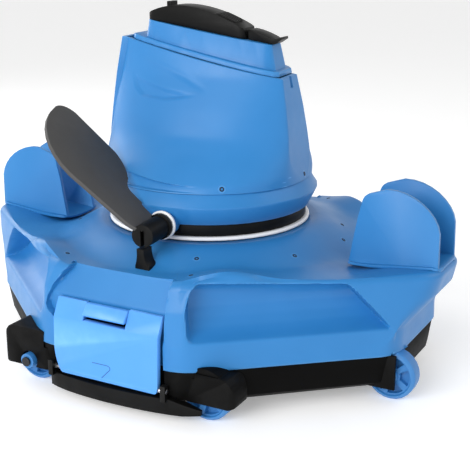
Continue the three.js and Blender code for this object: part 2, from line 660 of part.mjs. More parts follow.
function buildTowerTop() {
  const neckRows = [[220, 60, 22, 12], [262, 51, 15.5, 8.5], [285, 49, 14, 8]];
  const neck = solid(loft(neckRows.map((row) => towerSection(row, 0)))).translate([3, 0, 0]);
  const cap = solid(loft(TOWER_ROWS.map((row) => towerSection(row, WALL + GAP))));
  const skin = joined(cap.intersect(halfSpace(SHOULDER, GAP, true)).intersect(halfSpace(SHOULDER, 4, false)),
    neck.intersect(halfSpace(SHOULDER, GAP, true)).intersect(halfSpace(NECK_TOP, 0, false)));
  const inside = solid(loft(neckRows.map((row) => towerSection(row, WALL)))).translate([3, 0, 0]);
  const well = inside.intersect(halfSpace(NECK_TOP, -5, false));
  const plateHoles = joined(movedBy(rod(5.2, 240, 290, 20), -20, 0, 0), movedBy(rod(4.4, 240, 290, 20), 6, 0, 0));
  addPiece('tower_neck', without(skin, well, plateHoles), BLUE(), tower);

  const side = new THREE.Shape();
  side.moveTo(-48.5, NECK_TOP.z - 48.5 * NECK_TOP.slope + GAP);
  side.lineTo(-48, 271);
  side.bezierCurveTo(-36, 277, -24, 278.6, -10, 276.6);
  side.bezierCurveTo(6, 274.5, 22, 268, 34, 261.5);
  side.lineTo(36, NECK_TOP.z + 36 * NECK_TOP.slope + GAP);
  const plan = roundedOutline([[-48.5, -11], [36, -13], [36, 13], [-48.5, 11]], 7, 4);
  const dome = prismY(side, -20, 20, 8).intersect(prismZ(plan, 200, 300));
  const ridges = [-8, -4, 0, 4, 8].map((y) => block([4, y - 0.7, 266], [31, y + 0.7, 272]));
  const ridgeTops = joined(...ridges).intersect(prismY(side, -20, 20, 8).translate([0, 0, 1.1]));
  const tab = block([-33, -6, 270], [-29.5, 6, 280]);
  const underside = prismY(side, -20, 20, 8).translate([0, 0, -2.6])
    .intersect(prismZ(roundedOutline([[-45.5, -8.5], [33, -10.5], [33, 10.5], [-45.5, 8.5]], 5, 4), 200, 300));
  addPiece('top_lid', without(joined(dome, ridgeTops, tab), underside), BLACK(), tower);

  const latchSide = new THREE.Shape();
  latchSide.moveTo(37, NECK_TOP.z + 37 * NECK_TOP.slope + GAP);
  latchSide.lineTo(37, 260.6);
  latchSide.quadraticCurveTo(46, 259.5, 57, 254);
  latchSide.lineTo(63, 255.4);
  latchSide.lineTo(63.5, 253.6);
  latchSide.lineTo(58.5, 250.2);
  latchSide.lineTo(54, NECK_TOP.z + 54 * NECK_TOP.slope + GAP);
  addPiece('lid_latch', prismY(latchSide, -8.5, 8.5, 6), BLACK(), tower);

  addPiece('power_button', movedBy(rod(4.6, 255.4, 260.8, 20), -20, 0, 0), WHITE(), tower);
  addPiece('charge_socket', movedBy(without(rod(4, 246, 257.4, 20), rod(2.4, 252, 262, 12)), 6, 0, 0), STEEL(),
    tower);
}

// ---------------------------------------------------------------- pump and electrics in the tower
function buildPump() {
  const casing = turned([[44, 127], [56, 127], [56, 156], [22, 160], [22, 157], [53, 153], [53, 130], [44, 130]], 32);
  const port = nozzleBody(-3, 40);
  addPiece('pump_casing', without(casing, port, nozzleBody(GAP, 54)), DARK_GREY(), tower);

  const tube = without(nozzleBody(0, 57.5), nozzleBody(-2.6, 0));
  const inTower = turned([[1, 100], [89, 100], [96, 180], [1, 180]], 48);
  addPiece('jet_nozzle', tube.intersect(inTower), BLACK(), tower);

  const blades = [];
  for (let i = 0; i < 4; i += 1) {
    blades.push(block([4, -1.2, 133], [38, 1.2, 148]).rotate([0, 0, i * 90]));
  }
  const wheel = joined(rod(7, 131, 150, 20), rod(39, 131, 133.2, 32), ...blades);
  addPiece('impeller', without(wheel, rod(2.8, 120, 160, 16)), WHITE(), tower);
  addPiece('motor_shaft', rod(2.5, 128, 163.4, 16), STEEL(), tower);
  addPiece('shaft_seal', turned([[3.2, 154], [12, 154], [12, 163.5], [3.2, 163.5]], 24), BLACK(), tower);
  addPiece('motor', joined(rod(19, 164, 206, 32), rod(6, 206, 209, 20)), STEEL(), tower);
  addPiece('battery_pack', block([-54, -13, 168], [-22, 13, 232]), MESH_GREY(), tower);
  addPiece('control_board', block([24, -9, 170], [25.8, 9, 222]), GREEN(), tower);
}

// ---------------------------------------------------------------- paddle
/** Outline of the blade: reach from the tower axis across, height above the hub axis up. */
function bladeShape() {
  const blade = new THREE.Shape();
  blade.moveTo(HUB_END - 2, 3);
  blade.lineTo(HUB_END + 3.5, 14);
  blade.lineTo(HUB_END + 10, 68);
  blade.bezierCurveTo(HUB_END + 10, 92, HUB_END - 10, 118, HUB_END - 44, 125);
  blade.quadraticCurveTo(HUB_END - 56, 126, HUB_END - 59, 114);
  blade.lineTo(HUB_END - 59, 70);
  blade.quadraticCurveTo(HUB_END - 55, 52, HUB_END - 40, 43);
  blade.quadraticCurveTo(HUB_END - 33, 40, HUB_END - 32.4, 34);
  blade.lineTo(HUB_END - 32.4, 23);
  blade.lineTo(HUB_END - 29.8, 21);
  blade.lineTo(HUB_END - 29.8, 3);
  return blade;
}

function buildPaddle() {
  const arm = new THREE.Group();
  arm.position.set(0, 0, HUB_Z);
  arm.rotation.y = -PADDLE_LEAN;
  tower.add(arm);
  const place = new THREE.Matrix4().makeBasis(
    new THREE.Vector3(0, -1, 0), new THREE.Vector3(0, 0, 1), new THREE.Vector3(-1, 0, 0));
  const thick = 3;
  const blade = solid(extrude(bladeShape(), thick, 8).applyMatrix4(place).translate(thick / 2, 0, 0));
  const bar = (radius, from, to, segments = 28) =>
    solid(new THREE.CylinderGeometry(radius, radius, to - from, segments).translate(0, -(from + to) / 2, 0));
  const hub = joined(bar(HUB_R, 91, HUB_END), bar(HUB_R + 1.3, 91, 94.5));
  const slot = block([-1.6, -HUB_END - 1, -HUB_R - 2], [1.6, -HUB_END + 5, 4])
    .rotate([0, PADDLE_LEAN * 180 / Math.PI, 0]);
  const bladeSlot = solid(extrude(bladeShape(), thick + 2 * GAP, 8).applyMatrix4(place)
    .translate(thick / 2 + GAP, 0, 0));
  addPiece('paddle_hub', without(hub, slot, bladeSlot, bar(3 + GAP, 80, HUB_END - 8, 20)), BLACK(), arm);
  addPiece('paddle_blade', without(blade, bar(3 + GAP, 80, HUB_END - 8, 20)), DARK_GREY(), arm);
  addPiece('paddle_shaft', joined(bar(3, 68, HUB_END - 8.6, 20), bar(4.6, 68, 86, 20)), STEEL(), arm);
}

buildBaseShell();
buildChassis();
buildBumpers();
buildJetGuides();
buildDeckFittings();
buildSuctionPath();
buildDoors();
buildWheels();
buildTowerShells();
buildTowerTop();
buildPump();
buildPaddle();

export default cleaner;
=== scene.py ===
import math

import bmesh
import bpy
import numpy as np
from mathutils import Matrix, Vector
from mathutils.bvhtree import BVHTree


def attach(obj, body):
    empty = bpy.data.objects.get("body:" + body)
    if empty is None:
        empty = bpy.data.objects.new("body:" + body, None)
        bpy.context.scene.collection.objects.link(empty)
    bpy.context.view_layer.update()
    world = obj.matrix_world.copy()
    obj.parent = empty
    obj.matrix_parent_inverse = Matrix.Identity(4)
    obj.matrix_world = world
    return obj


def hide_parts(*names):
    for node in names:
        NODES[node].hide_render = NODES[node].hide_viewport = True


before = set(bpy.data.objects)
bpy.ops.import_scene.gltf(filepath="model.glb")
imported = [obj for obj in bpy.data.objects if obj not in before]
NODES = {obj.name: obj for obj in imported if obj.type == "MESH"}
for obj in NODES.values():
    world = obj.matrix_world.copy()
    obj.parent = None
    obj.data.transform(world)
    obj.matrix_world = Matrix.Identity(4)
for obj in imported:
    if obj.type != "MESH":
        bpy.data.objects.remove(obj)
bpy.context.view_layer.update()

# Meshes are made in millimetres, and piece() turns them into metres. Materials, lights and camera are in
# metres.
MM = 0.001
TOWER_TURN = math.radians(6)      # the tower's rest angle about Z


# ------------------------------------------------------------------ material helpers
def new_material(name):
    """A node material, its tree and its shader."""
    mat = bpy.data.materials.new(name)
    mat.use_nodes = True
    tree = mat.node_tree
    return mat, tree, tree.nodes["Principled BSDF"]


def add(tree, kind, **values):
    """New node, with each value set as a property or, failing that, as an input's default."""
    node = tree.nodes.new(kind)
    for key, value in values.items():
        if hasattr(node, key):
            setattr(node, key, value)
        else:
            node.inputs[key.replace("_", " ")].default_value = value
    return node


def noise(tree, scale, detail=4.0, roughness=0.55, stretch=None):
    """Noise in object space, in metres."""
    coords = add(tree, "ShaderNodeTexCoord")
    node = add(tree, "ShaderNodeTexNoise", Scale=scale, Detail=detail, Roughness=roughness)
    source = coords.outputs["Object"]
    if stretch:
        mapping = add(tree, "ShaderNodeMapping", Scale=stretch)
        tree.links.new(source, mapping.inputs["Vector"])
        source = mapping.outputs["Vector"]
    tree.links.new(source, node.inputs["Vector"])
    return node


def ramp(tree, source, stops):
    """Colour ramp over `source`. Each stop is a place and a grey level or a colour."""
    node = add(tree, "ShaderNodeValToRGB")
    elements = node.color_ramp.elements
    for i, (place, value) in enumerate(stops):
        if i > 1:
            elements.new(place)
        elements[i].position = place
        rgb = value if isinstance(value, tuple) else (value, value, value)
        elements[i].color = (*rgb, 1)
    tree.links.new(source, node.inputs["Fac"])
    return node.outputs["Color"]


def bump(tree, shader, height, strength, distance):
    node = add(tree, "ShaderNodeBump", Strength=strength, Distance=distance)
    tree.links.new(height, node.inputs["Height"])
    tree.links.new(node.outputs["Normal"], shader.inputs["Normal"])


def worn(tree, tone, wear):
    """`tone` with the mesh's sharp edges rubbed in broken patches towards the colour `wear`."""
    geometry = add(tree, "ShaderNodeNewGeometry")
    edge = ramp(tree, geometry.outputs["Pointiness"], [(0.53, 0.0), (0.62, 1.0)])
    scuff = noise(tree, 90, 5)
    broken = add(tree, "ShaderNodeMath", operation="MULTIPLY")
    tree.links.new(edge, broken.inputs[0])
    tree.links.new(scuff.outputs["Fac"], broken.inputs[1])
    mix = add(tree, "ShaderNodeMix", data_type="RGBA")
    mix.inputs["B"].default_value = (*wear, 1)
    tree.links.new(broken.outputs[0], mix.inputs["Factor"])
    tree.links.new(tone, mix.inputs["A"])
    return mix.outputs["Result"]


def moulded(name, colour, dark, roughness, grain=2600, grain_depth=0.00003, coat=0.0, wear=None,
            specular=0.5):
    """Moulded plastic: slow changes between `dark` and `colour`, patchy gloss and fine spark grain."""
    mat, tree, shader = new_material(name)
    slow = noise(tree, 14, 3)
    tone = ramp(tree, slow.outputs["Fac"], [(0.3, dark), (0.7, colour)])
    if wear:
        tone = worn(tree, tone, wear)
    tree.links.new(tone, shader.inputs["Base Color"])
    patch = noise(tree, 60, 4)
    rough = ramp(tree, patch.outputs["Fac"], [(0.3, roughness - 0.04), (0.75, roughness + 0.06)])
    tree.links.new(rough, shader.inputs["Roughness"])
    fine = noise(tree, grain, 2, 0.5)
    bump(tree, shader, fine.outputs["Fac"], 0.35, grain_depth)
    shader.inputs["Specular IOR Level"].default_value = specular
    shader.inputs["Coat Weight"].default_value = coat
    shader.inputs["Coat Roughness"].default_value = 0.25
    return mat


def turned_steel(name, squeeze):
    """Stainless bar with fine rings left by the lathe. `squeeze` is largest along the bar."""
    mat, tree, shader = new_material(name)
    rings = noise(tree, 1, 3, 0.6, stretch=squeeze)
    tone = ramp(tree, rings.outputs["Fac"], [(0.3, (0.42, 0.43, 0.45)), (0.7, (0.62, 0.63, 0.65))])
    tree.links.new(tone, shader.inputs["Base Color"])
    rough = ramp(tree, rings.outputs["Fac"], [(0.3, 0.22), (0.7, 0.38)])
    tree.links.new(rough, shader.inputs["Roughness"])
    shader.inputs["Metallic"].default_value = 1.0
    bump(tree, shader, rings.outputs["Fac"], 0.2, 0.00003)
    return mat


def woven(name, colour, dark):
    """Filter cloth: two crossed sets of threads."""
    mat, tree, shader = new_material(name)
    coords = add(tree, "ShaderNodeTexCoord")
    both = add(tree, "ShaderNodeMath", operation="MAXIMUM")
    for i, direction in enumerate(("X", "Z")):
        wave = add(tree, "ShaderNodeTexWave", bands_direction=direction, Scale=400.0, Distortion=0.6)
        tree.links.new(coords.outputs["Object"], wave.inputs["Vector"])
        tree.links.new(wave.outputs["Fac"], both.inputs[i])
    tone = ramp(tree, both.outputs[0], [(0.3, dark), (0.8, colour)])
    tree.links.new(tone, shader.inputs["Base Color"])
    shader.inputs["Roughness"].default_value = 0.75
    bump(tree, shader, both.outputs[0], 0.6, 0.0003)
    return mat


def circuit(name):
    """Green board with pale pads."""
    mat, tree, shader = new_material(name)
    coords = add(tree, "ShaderNodeTexCoord")
    cells = add(tree, "ShaderNodeTexVoronoi", distance="CHEBYCHEV", Scale=220.0)
    tree.links.new(coords.outputs["Object"], cells.inputs["Vector"])
    tone = ramp(tree, cells.outputs["Distance"],
                [(0.05, (0.75, 0.7, 0.5)), (0.12, (0.01, 0.12, 0.04)), (0.5, (0.02, 0.2, 0.07))])
    tree.links.new(tone, shader.inputs["Base Color"])
    shader.inputs["Roughness"].default_value = 0.35
    return mat


# ------------------------------------------------------------------ materials
BLUE = moulded("blue_shell", (0.027, 0.200, 0.50), (0.022, 0.180, 0.46), 0.38,
               wear=(0.14, 0.40, 0.76), specular=0.35)
DOOR_BLUE = moulded("blue_door", (0.075, 0.31, 0.80), (0.062, 0.28, 0.75), 0.36,
                    wear=(0.2, 0.5, 0.95), specular=0.4)
# Painted shade: the dark in the groove of the door's engraved arrow.
DOOR_GROOVE_SHADE = moulded("door_groove_shade", (0.02, 0.13, 0.38), (0.015, 0.10, 0.32), 0.5)
WHEEL_BLUE = moulded("blue_wheel", (0.027, 0.18, 0.47), (0.022, 0.15, 0.41), 0.45,
                     wear=(0.14, 0.4, 0.74))
BLACK = moulded("black_plastic", (0.003, 0.003, 0.0028), (0.0022, 0.0022, 0.0022), 0.44,
                grain=1900, grain_depth=0.00006, wear=(0.025, 0.025, 0.025), specular=0.12)
TRAY_BLACK = moulded("tray_black", (0.0022, 0.0021, 0.0020), (0.0012, 0.0012, 0.0012), 0.55,
                     grain=1700, grain_depth=0.00008, wear=(0.012, 0.012, 0.012), specular=0.06)
GREY = moulded("grey_plastic", (0.066, 0.064, 0.062), (0.059, 0.057, 0.055), 0.62,
               grain=2200, grain_depth=0.00005, wear=(0.09, 0.09, 0.09), specular=0.25)
WHITE = moulded("white_plastic", (0.84, 0.85, 0.86), (0.78, 0.79, 0.81), 0.33)
RUBBER = moulded("seal_rubber", (0.016, 0.016, 0.016), (0.01, 0.01, 0.01), 0.75,
                 grain=1200, grain_depth=0.00008)
WRAP = moulded("battery_wrap", (0.16, 0.22, 0.32), (0.12, 0.17, 0.26), 0.3,
               grain=500, grain_depth=0.0001, coat=0.4)
# Painted shade: the dark inside holes and recesses, put on the screw heads, the tower's foot notches and two
# axles.
HOLE_SHADE = moulded("painted_hole_shade", (0.006, 0.008, 0.013), (0.004, 0.005, 0.008), 0.6)
MESH = woven("filter_mesh", (0.40, 0.45, 0.50), (0.08, 0.10, 0.12))
BOARD = circuit("circuit_board")
STEEL_X = turned_steel("steel_x", (9000, 200, 200))
STEEL_Y = turned_steel("steel_y", (200, 9000, 200))
STEEL_Z = turned_steel("steel_z", (200, 200, 9000))


# ------------------------------------------------------------------ mesh helpers
def smooth_by_angle(mesh, degrees):
    """Smooth shading, with edges sharper than `degrees` left crisp."""
    bm = bmesh.new()
    bm.from_mesh(mesh)
    bmesh.ops.recalc_face_normals(bm, faces=bm.faces)
    limit = math.radians(degrees)
    for edge in bm.edges:
        edge.smooth = len(edge.link_faces) != 2 or edge.calc_face_angle(0) < limit
    for face in bm.faces:
        face.smooth = True
    bm.to_mesh(mesh)
    bm.free()


def piece(name, verts, faces, material, body, slot, angle, tower=False):
    """New object from vertices in millimetres, riding a body, with edges over `angle` degrees crisp.

    With tower, the vertices are in the tower's own axes.
    """
    mesh = bpy.data.meshes.new(name)
    points = np.asarray(verts, float) * MM
    if tower:
        cos, sin = math.cos(TOWER_TURN), math.sin(TOWER_TURN)
        turn = np.array([[cos, sin, 0], [-sin, cos, 0], [0, 0, 1]])
        points = points @ turn
    mesh.from_pydata(points.tolist(), [], faces)
    mesh.validate()
    mesh.materials.append(material)
    smooth_by_angle(mesh, angle)
    obj = bpy.data.objects.new(name, mesh)
    bpy.context.scene.collection.objects.link(obj)
    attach(obj, body)
    return obj


def grid_faces(rows, cols, skip=None):
    """Quads between the rows of a grid, each row a closed ring, without those that `skip` marks."""
    faces = []
    for i in range(rows - 1):
        for j in range(cols):
            if skip is not None and skip[i, j]:
                continue
            k = (j + 1) % cols
            faces.append((i * cols + j, i * cols + k, (i + 1) * cols + k, (i + 1) * cols + j))
    return faces


def closing_faces(rows, cols):
    """Quads from a grid's last row back to its first."""
    last = (rows - 1) * cols
    return [(last + j, last + (j + 1) % cols, (j + 1) % cols, j) for j in range(cols)]


def level_ring(flat, z):
    """Points in X and Y, all at one height or each at its own."""
    return np.column_stack([flat, np.full(len(flat), z)])


def lathe(profile, segments):
    """A closed profile of [radius, z] points turned about Z."""
    angles = np.linspace(0, 2 * math.pi, segments, endpoint=False)
    circle = np.stack([np.cos(angles), np.sin(angles)], 1)
    rings = [level_ring(circle * radius, z) for radius, z in profile]
    rows = len(profile)
    return np.concatenate(rings), grid_faces(rows, segments) + closing_faces(rows, segments)


def joined(*parts):
    """Several (verts, faces) as one."""
    verts, faces = [], []
    for v, f in parts:
        start = sum(len(x) for x in verts)
        verts.append(np.asarray(v, float))
        faces += [tuple(start + i for i in face) for face in f]
    return np.concatenate(verts), faces


def placed(part, matrix):
    """(verts, faces) moved by a 4x4 matrix, in millimetres."""
    verts, faces = part
    m = np.array(matrix)
    return np.asarray(verts) @ m[:3, :3].T + m[:3, 3], faces


def unit(vectors):
    """Each row at length one."""
    return vectors / np.linalg.norm(vectors, axis=1)[:, None]


def slab(outline, depth, ease):
    """Closed outline in X and Y, raised to `depth` along Z, with its two rims eased."""
    pts = np.array(outline, float)
    area = np.sum(pts[:, 0] * np.roll(pts[:, 1], -1) - np.roll(pts[:, 0], -1) * pts[:, 1])
    if area < 0:
        pts = pts[::-1]
    ahead = unit(np.roll(pts, -1, 0) - pts)
    back = unit(pts - np.roll(pts, 1, 0))
    tangent = unit(ahead + back)
    inward = np.stack([-tangent[:, 1], tangent[:, 0]], 1)
    soft = ease * 0.3
    section = [(ease, 0), (soft, soft), (0, ease), (0, depth - ease), (soft, depth - soft), (ease, depth)]
    rows = [level_ring(pts + inward * inset, z) for inset, z in section]
    count = len(pts)
    faces = grid_faces(len(rows), count)
    faces.append(tuple(range(count))[::-1])
    faces.append(tuple((len(rows) - 1) * count + i for i in range(count)))
    return np.concatenate(rows), faces


def bend(start, middle, end, t):
    """Point at t on the quadratic curve from start to end, pulled towards middle."""
    return (1 - t) ** 2 * start + 2 * t * (1 - t) * middle + t * t * end


def curve(*spans, steps):
    """Polyline through spans: one point is a straight line to it, two are a curve's middle and end."""
    here = np.array(spans[0][0], float)
    out = [here]
    for span in spans[1:]:
        span = [np.array(p, float) for p in span]
        if len(span) == 1:
            out.append(span[0])
        else:
            out += [bend(here, *span, t) for t in np.linspace(0, 1, steps + 1)[1:]]
        here = span[-1]
    return out


def smoothstep(lo, hi, value):
    """Rises smoothly from 0 at lo to 1 at hi, whichever of them is larger."""
    t = np.clip((value - lo) / (hi - lo), 0, 1)
    return t * t * (3 - 2 * t)


def bell(distance, reach):
    """1 at no distance, falling away smoothly over about twice `reach`."""
    return np.exp(-((distance / reach) ** 2))


def eased(values, sigma, reach):
    """Evenly spaced values blurred by sigma steps, counting neighbours up to `reach` steps away."""
    kernel = np.exp(-0.5 * (np.arange(-reach, reach + 1) / sigma) ** 2)
    return np.convolve(np.pad(values, reach, mode="edge"), kernel / kernel.sum(), "valid")


def dress(node, material, bevel, angle=32):
    """A CAD node that stays: its material, smooth shading and edges over `angle` degrees eased."""
    obj = NODES[node]
    obj.data.materials.clear()
    obj.data.materials.append(material)
    for face in obj.data.polygons:
        face.use_smooth = True
    weld = obj.modifiers.new("weld", "WELD")
    weld.merge_threshold = 0.00002
    if bevel:
        ease = obj.modifiers.new("ease", "BEVEL")
        ease.width = bevel * MM
        ease.segments = 2
        ease.limit_method = "ANGLE"
        ease.angle_limit = math.radians(angle)
        ease.harden_normals = True


# ------------------------------------------------------------------ base shell
DECK_Z = 97.0                      # height of the deck's rim, before it swells or dips
TRIM_R = 87.0                      # flat top of the deck, round the tower
TOWER_HOLE_R = 77.0
TURNTABLE_Z = 109.2                # the deck's highest level, at the trim ring
SHELL_WALL = 2.4
WHEEL_R = 19.0
WHEEL_SPOTS = {
    "front_left": (-75, -133),
    "front_right": (75, -133),
    "end_right": (177.5, -39),
    "rear_right": (75, 133),
    "rear_left": (-75, 133),
    "end_left": (-177.5, 39),
}

# The eight-sided plan: how far each corner is rounded along its sides, and how many points each corner
# and side has.
CORNER_REACH = 14.0
CORNER_POINTS = 26
SIDE_POINTS = [150, 36, 150, 76]   # oblique, end, oblique, front or back

# The plan's corners at rising heights: height, X and Y where the front meets the oblique wall, X and Y where
# the oblique wall meets the end.
WALL_ROWS = np.array([
    [37, 61, 150, 183, 48],
    [55, 60.5, 149.5, 183, 47],
    [78, 59, 146, 201, 31],
    [93, 57.5, 140.5, 205, 27],
    [96, 56, 138.5, 203.5, 26],
    [97, 54, 135.5, 200, 24.5],
])

# The deck swells above each scoop, and dips before each pair of fins.
BROW_RISE, BROW_SPOT, BROW_REACH = 9, (84, 122), 30
DIP_DEPTH, DIP_X, DIP_REACH = 9, 138, (26, 46)
TURNTABLE_RISE, RISE_START_R = 12.5, 126

# The oblique wall's scoop, from its lower edge to its brow: height, and depth behind the wall. A depth of
# OUTSIDE is clear of the wall.
OUTSIDE = -3
SCOOP_ROWS = np.array([
    [30, OUTSIDE], [56.8, OUTSIDE], [57.6, 0.4], [58.6, 3.4], [60.6, 8.3], [64.5, 14.2], [70.4, 18.8],
    [78, 22], [83.4, 21.8], [87.75, 19.2], [90.9, 14.3], [93, 7], [94.2, OUTSIDE], [140, OUTSIDE],
])
SCOOP_GRID = np.linspace(30, 140, 1101)
SCOOP_CURVE = eased(np.interp(SCOOP_GRID, *SCOOP_ROWS.T), 13, 39)

# The oblique wall at the front right: its start, its direction and the direction into the base.
OBLIQUE_START = np.array([61, -150])
ALONG = np.array([0.767, 0.641])
INWARD = np.array([-0.641, 0.767])

# Places along the oblique wall, in the mesh as it is drawn and as it is moved to: the columns between NEAR
# and FAR spread over the scoop, and those beyond close up towards the wall's end.
NEAR, FAR = 3, 138
NEAR_EDGE, NEAR_CURL = 2.5, 17     # the scoop's near edge, and how far it curls away under the brow
FAR_EDGE, FAR_LEAN = 119, 0.93     # the scoop's far edge at the deck, and its slope
WALL_END = np.array([[37, 158], [55, 159], [78, 180], [97, 181]])    # height, length of the oblique wall

# The debris door's pocket: height, and Y of its floor, then height, and sideways lean of its left edge.
POCKET_FLOOR = np.array([[0, 143], [76, 143], [77.5, 142.6], [97, 131], [200, 131]])
POCKET_LEAN = np.array([
    [58, 0], [64, -7.5], [68, -9.5], [74, -8.5], [84, -3.5], [92, 2.5], [97, 7], [110, 9],
])
POCKET_EDGE = 46.6
DOORWAY_HALF, DOORWAY_SILL, DOORWAY_TOP = 38, 26, 68


def towards(here, there, reach):
    """Point `reach` from one corner towards another, or less on a short side."""
    step = there - here
    length = np.linalg.norm(step)
    return here + step / length * min(reach, length / 2.2)


def plan(x1, y1, x2, y2):
    """Eight-sided plan with rounded corners, and as many points at every height."""
    corners = np.array([[x1, -y1], [x2, -y2], [x2, y2], [x1, y1],
                        [-x1, y1], [-x2, y2], [-x2, -y2], [-x1, -y1]])
    out = []
    for i, side_points in enumerate(SIDE_POINTS * 2):
        before, here, ahead = corners[i - 1], corners[i], corners[(i + 1) % 8]
        start = towards(here, before, CORNER_REACH)
        end = towards(here, ahead, CORNER_REACH)
        stop = towards(ahead, here, CORNER_REACH)
        out += [bend(start, here, end, t) for t in np.linspace(0, 1, CORNER_POINTS, endpoint=False)]
        out += [end + (stop - end) * t for t in np.linspace(0, 1, side_points, endpoint=False)]
    return np.array(out)


def brow(x, y):
    """How far the deck swells above the scoops."""
    return BROW_RISE * bell(np.hypot(np.abs(x) - BROW_SPOT[0], np.abs(y) - BROW_SPOT[1]), BROW_REACH)


def deck_height(x, y):
    climb = TURNTABLE_RISE * (1 - smoothstep(TRIM_R, RISE_START_R, np.hypot(x, y)))
    dip = DIP_DEPTH * bell(np.abs(x) - DIP_X, DIP_REACH[0]) * bell(y, DIP_REACH[1])
    return DECK_Z + climb - dip + brow(x, y)


def carve_scoops(points):
    """Pushes the oblique walls in where the scoops are, with the mesh drawn along their ends.

    All four walls are worked out as the front right one, where s is a point's place along the wall and w
    its distance behind it.
    """
    side = np.sign(points[:, :2]) * np.array([1, -1])
    flat = np.abs(points[:, :2]) * np.array([1, -1])
    z = points[:, 2]
    from_start = flat - OBLIQUE_START
    s, w = from_start @ ALONG, from_start @ INWARD
    wall = (s > 0) & (w < 24) & (np.abs(points[:, 1]) > 20) & (np.abs(points[:, 0]) > 56)
    end = np.interp(z, *WALL_END.T)

    turn = np.clip((z - 76) / 26, 0, 0.995)
    near = NEAR_EDGE + NEAR_CURL * (1 - np.sqrt(1 - turn * turn))
    far = np.minimum(FAR_EDGE + (DECK_Z - z) * FAR_LEAN, end - 3)
    over_scoop = near + (s - NEAR) / (FAR - NEAR) * (far - near)
    past_scoop = far + (s - FAR) / (end - FAR) * (end - far)
    warped = np.where(s < NEAR, s / NEAR * near, np.where(s < FAR, over_scoop, past_scoop))
    ease = smoothstep(40, 56, z) * smoothstep(112, 99, z)
    move = np.where(wall & (s < end), (warped - s) * ease, 0)

    lift = 8 * (1 - np.clip((s + move) / 125, 0, 1)) * smoothstep(80, 93, z)
    depth = np.interp(z - lift, SCOOP_GRID, SCOOP_CURVE)
    mask = smoothstep(2.5, 10, s) * smoothstep(139, 135.5, s) * wall
    depth = OUTSIDE + (depth - OUTSIDE) * mask
    gain = depth - w
    soft = np.where((gain > -4) & (mask > 0), 0.5 * (gain + np.sqrt(gain * gain + 1.2)) - 0.02, 0)
    points[:, :2] += (move[:, None] * ALONG + soft[:, None] * INWARD) * side
    return points


def carve_door_pockets(points):
    """Flat pocket for each debris door, with the sloping step above it and its leaning left edge."""
    flip = np.where(points[:, 1] > 0, -1.0, 1.0)
    x, y, z = points[:, 0] * flip, np.abs(points[:, 1]), points[:, 2]
    floor_y = np.interp(z, *POCKET_FLOOR.T)
    lean = np.interp(z, *POCKET_LEAN.T)
    left_of_edge = (x + 61) / 14.4
    right_of_edge = (-12 - x) / 34.6
    share = np.clip(np.where(x < -POCKET_EDGE, left_of_edge, right_of_edge), 0, 1) * (y > 118)
    inside = smoothstep(-47.3, -46.2, x) * smoothstep(POCKET_EDGE, 45.4, x)
    points[:, 0] = flip * (x + lean * share)
    points[:, 1] = -flip * (y + (np.minimum(y, floor_y) - y) * inside)
    return points


def carve_wheel_arches(points):
    """Lifts the wall's lower edge over each wheel."""
    gap = 1.4
    for x, y in WHEEL_SPOTS.values():
        dx = np.abs(points[:, 0] - x)
        near = (dx < WHEEL_R + gap - 0.1) & (np.abs(points[:, 1] - y) < 9.5) & (points[:, 2] < 45)
        arch = WHEEL_R + np.sqrt(np.clip((WHEEL_R + gap) ** 2 - dx * dx, 0, None))
        points[:, 2] = np.where(near, np.maximum(points[:, 2], arch), points[:, 2])
    return points


def base_surface():
    """Rows of points up the walls and in over the deck to the tower's hole, and how many in each."""
    grid = np.linspace(30, 110, 801)
    columns = [eased(np.interp(grid, WALL_ROWS[:, 0], sizes), 9, 27) for sizes in WALL_ROWS.T[1:]]
    heights = np.concatenate([np.linspace(37, 55, 13), np.linspace(55.8, DECK_Z, 60)])
    rows = []
    for z in heights:
        flat = plan(*[np.interp(z, grid, column) for column in columns])
        lift = brow(flat[:, 0], flat[:, 1]) * smoothstep(58, 96, z)
        rows.append(level_ring(flat, z + lift))
    count = len(rows[0])
    walls = carve_door_pockets(carve_scoops(np.concatenate(rows)))
    edge = walls[-count:, :2]
    walls[-count:, 2] = deck_height(edge[:, 0], edge[:, 1])

    rows = [walls]
    outward = unit(edge)
    inner = outward * (TRIM_R + 1.0)
    for blend in np.linspace(0, 1, 46)[1:]:
        spot = edge + (inner - edge) * blend
        rows.append(level_ring(spot, deck_height(spot[:, 0], spot[:, 1])))
    for radius in (TRIM_R - 0.5, TOWER_HOLE_R):
        rows.append(level_ring(outward * radius, TURNTABLE_Z))
    points = carve_wheel_arches(np.concatenate(rows))
    return points, len(points) // count, count


def build_base_shell():
    points, rows, cols = base_surface()
    grid = points.reshape(rows, cols, 3)
    middle = (grid[:-1] + grid[1:]) / 2
    middle = (middle + np.roll(middle, -1, 1)) / 2
    x, y, z = (np.abs(middle[..., 0]), np.abs(middle[..., 1]), middle[..., 2])
    doorway = (x < DOORWAY_HALF) & (z > DOORWAY_SILL) & (z < DOORWAY_TOP) & (y > 120)
    faces = grid_faces(rows, cols, skip=doorway)
    shell = piece("base_shell_surface", points, faces, BLUE, "base", "blue_shell", 40)
    thick = shell.modifiers.new("wall", "SOLIDIFY")
    thick.thickness = SHELL_WALL * MM
    thick.offset = -1
    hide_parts("base_shell")


build_base_shell()


# ------------------------------------------------------------------ tower shell
# The tower's section at rising heights: height, half its width, half its depth, half the end's thickness.
TOWER_ROWS = np.array([
    [146, 82.5, 82.5, 5], [149.5, 81.4, 81, 10], [153, 80.5, 78, 16], [162, 78.5, 70.5, 24],
    [170, 77.3, 63, 24.5], [182, 76, 54, 22.5], [202, 73, 44.5, 20], [226, 68.3, 32.5, 16.5],
    [262, 61.5, 20.5, 13],
])
FOOT_Z = 146.0                              # lower edge of the shell
SHOULDER_Z, SHOULDER_FALL = 239.0, -0.2     # height of the sloping top on the axis, and its slope along X
FACE_STEPS, END_STEPS = 120, 28             # points along each broad face and each end
FACE_FLATTENING = 0.62                      # how far the faces go from round to bowed above the foot
TOWER_WALL = 3.0

